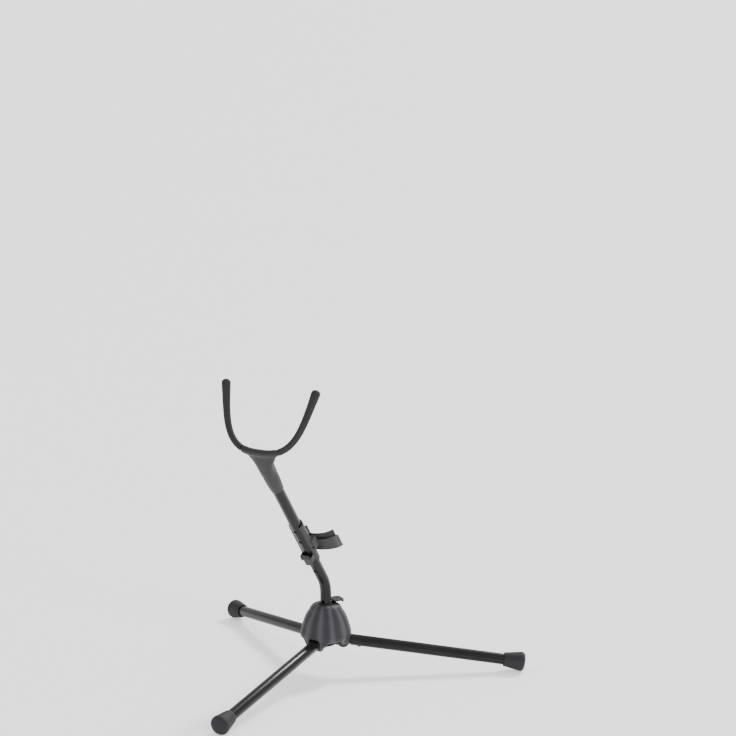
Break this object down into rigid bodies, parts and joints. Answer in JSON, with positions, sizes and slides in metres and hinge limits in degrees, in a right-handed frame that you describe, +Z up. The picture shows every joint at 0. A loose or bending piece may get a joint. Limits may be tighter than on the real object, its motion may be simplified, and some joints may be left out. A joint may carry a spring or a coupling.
{
  "type": "saxophone stand",
  "caption": "Folding tripod stand for a saxophone: bent upright tube on a fluted hub, U-shaped padded yoke for the bell and a sliding padded cradle for the body.",
  "frame": {"origin": "on the floor, in the middle of the footprint's bounding box; the hub's upright axis is 66 mm behind it at x = 0", "axes": "+Z up, -Y to the front, over the front leg, where the yoke leans; +X to the right leg's side"},
  "size_m": [0.5044, 0.4387, 0.4505],
  "materials": {
    "black_paint": "semi-gloss black paint",
    "hub_plastic": "fine satin",
    "grey_plastic": "fine satin",
    "dark_plastic": "satin",
    "rubber": "soft matt",
    "bright_steel": "zinc plated",
    "black_steel": "black oxide"
  },
  "bodies": {
    "base": {"hub_shell": "hub_plastic", "hub_core": "dark_plastic", "core_screw_front": "bright_steel", "core_screw_right": "bright_steel", "core_screw_left": "bright_steel", "base_plate": "dark_plastic", "tube_bolt": "bright_steel", "tube_plug": "dark_plastic", "tube_collar": "dark_plastic", "upright_tube": "black_paint", "leg_pin_front": "bright_steel", "leg_pin_right": "bright_steel", "leg_pin_left": "bright_steel", "lever_pin": "bright_steel", "release_spring": "bright_steel", "yoke_frame": "grey_plastic", "yoke_screw": "black_steel", "yoke_sleeve_right": "rubber", "yoke_sleeve_left": "rubber"},
    "leg_front": {"leg_tube_front": "black_paint", "leg_knuckle_front": "dark_plastic", "leg_rivet_front": "black_steel", "foot_cap_front": "rubber"},
    "leg_right": {"leg_tube_right": "black_paint", "leg_knuckle_right": "dark_plastic", "leg_rivet_right": "black_steel", "foot_cap_right": "rubber"},
    "leg_left": {"leg_tube_left": "black_paint", "leg_knuckle_left": "dark_plastic", "leg_rivet_left": "black_steel", "foot_cap_left": "rubber"},
    "slider": {"slider_sleeve": "grey_plastic", "cradle_core": "grey_plastic", "cradle_pad": "rubber", "cradle_screw_right": "black_steel", "cradle_screw_left": "black_steel", "latch_pin": "bright_steel"},
    "latch": {"latch_lever": "dark_plastic"},
    "release": {"release_lever": "grey_plastic"},
    "lock": {"lock_ring": "dark_plastic"}
  },
  "joints": [
    {"name": "leg_fold_front", "type": "hinge", "parent": "base", "child": "leg_front", "pos_m": [0, 0.0413, 0.0475], "axis": [1, 0, 0], "range_deg": [0, 81.9]},
    {"name": "leg_fold_right", "type": "hinge", "parent": "base", "child": "leg_right", "pos_m": [0.02139, 0.07835, 0.0475], "axis": [-0.5, 0.866, 0], "range_deg": [0, 81.9]},
    {"name": "leg_fold_left", "type": "hinge", "parent": "base", "child": "leg_left", "pos_m": [-0.02139, 0.07835, 0.0475], "axis": [-0.5, -0.866, 0], "range_deg": [0, 81.9]},
    {"name": "slider_slide", "type": "slide", "parent": "base", "child": "slider", "axis": [0, -0.6018, 0.7986], "range_m": [-0.0223, 0.0669]},
    {"name": "latch_press", "type": "hinge", "parent": "slider", "child": "latch", "pos_m": [0, 0.01436, 0.18224], "axis": [-1, 0, 0], "range_deg": [0, 8], "stiffness_Nm_per_rad": 0.25, "springref_deg": -2.86},
    {"name": "release_press", "type": "hinge", "parent": "base", "child": "release", "pos_m": [0.007, 0.07812, 0.083], "axis": [-0.866, 0.5, 0], "range_deg": [0, 9], "stiffness_Nm_per_rad": 0.4, "springref_deg": -2.86},
    {"name": "lock_ring_lift", "type": "slide", "parent": "base", "child": "lock", "axis": [0, 0, 1], "range_m": [0, 0.0024], "deforming": ["release_spring"]}
  ],
  "couplings": [
    {"joint": "release_press", "follows": "lock_ring_lift", "rad_per_m": 65.36}
  ]
}
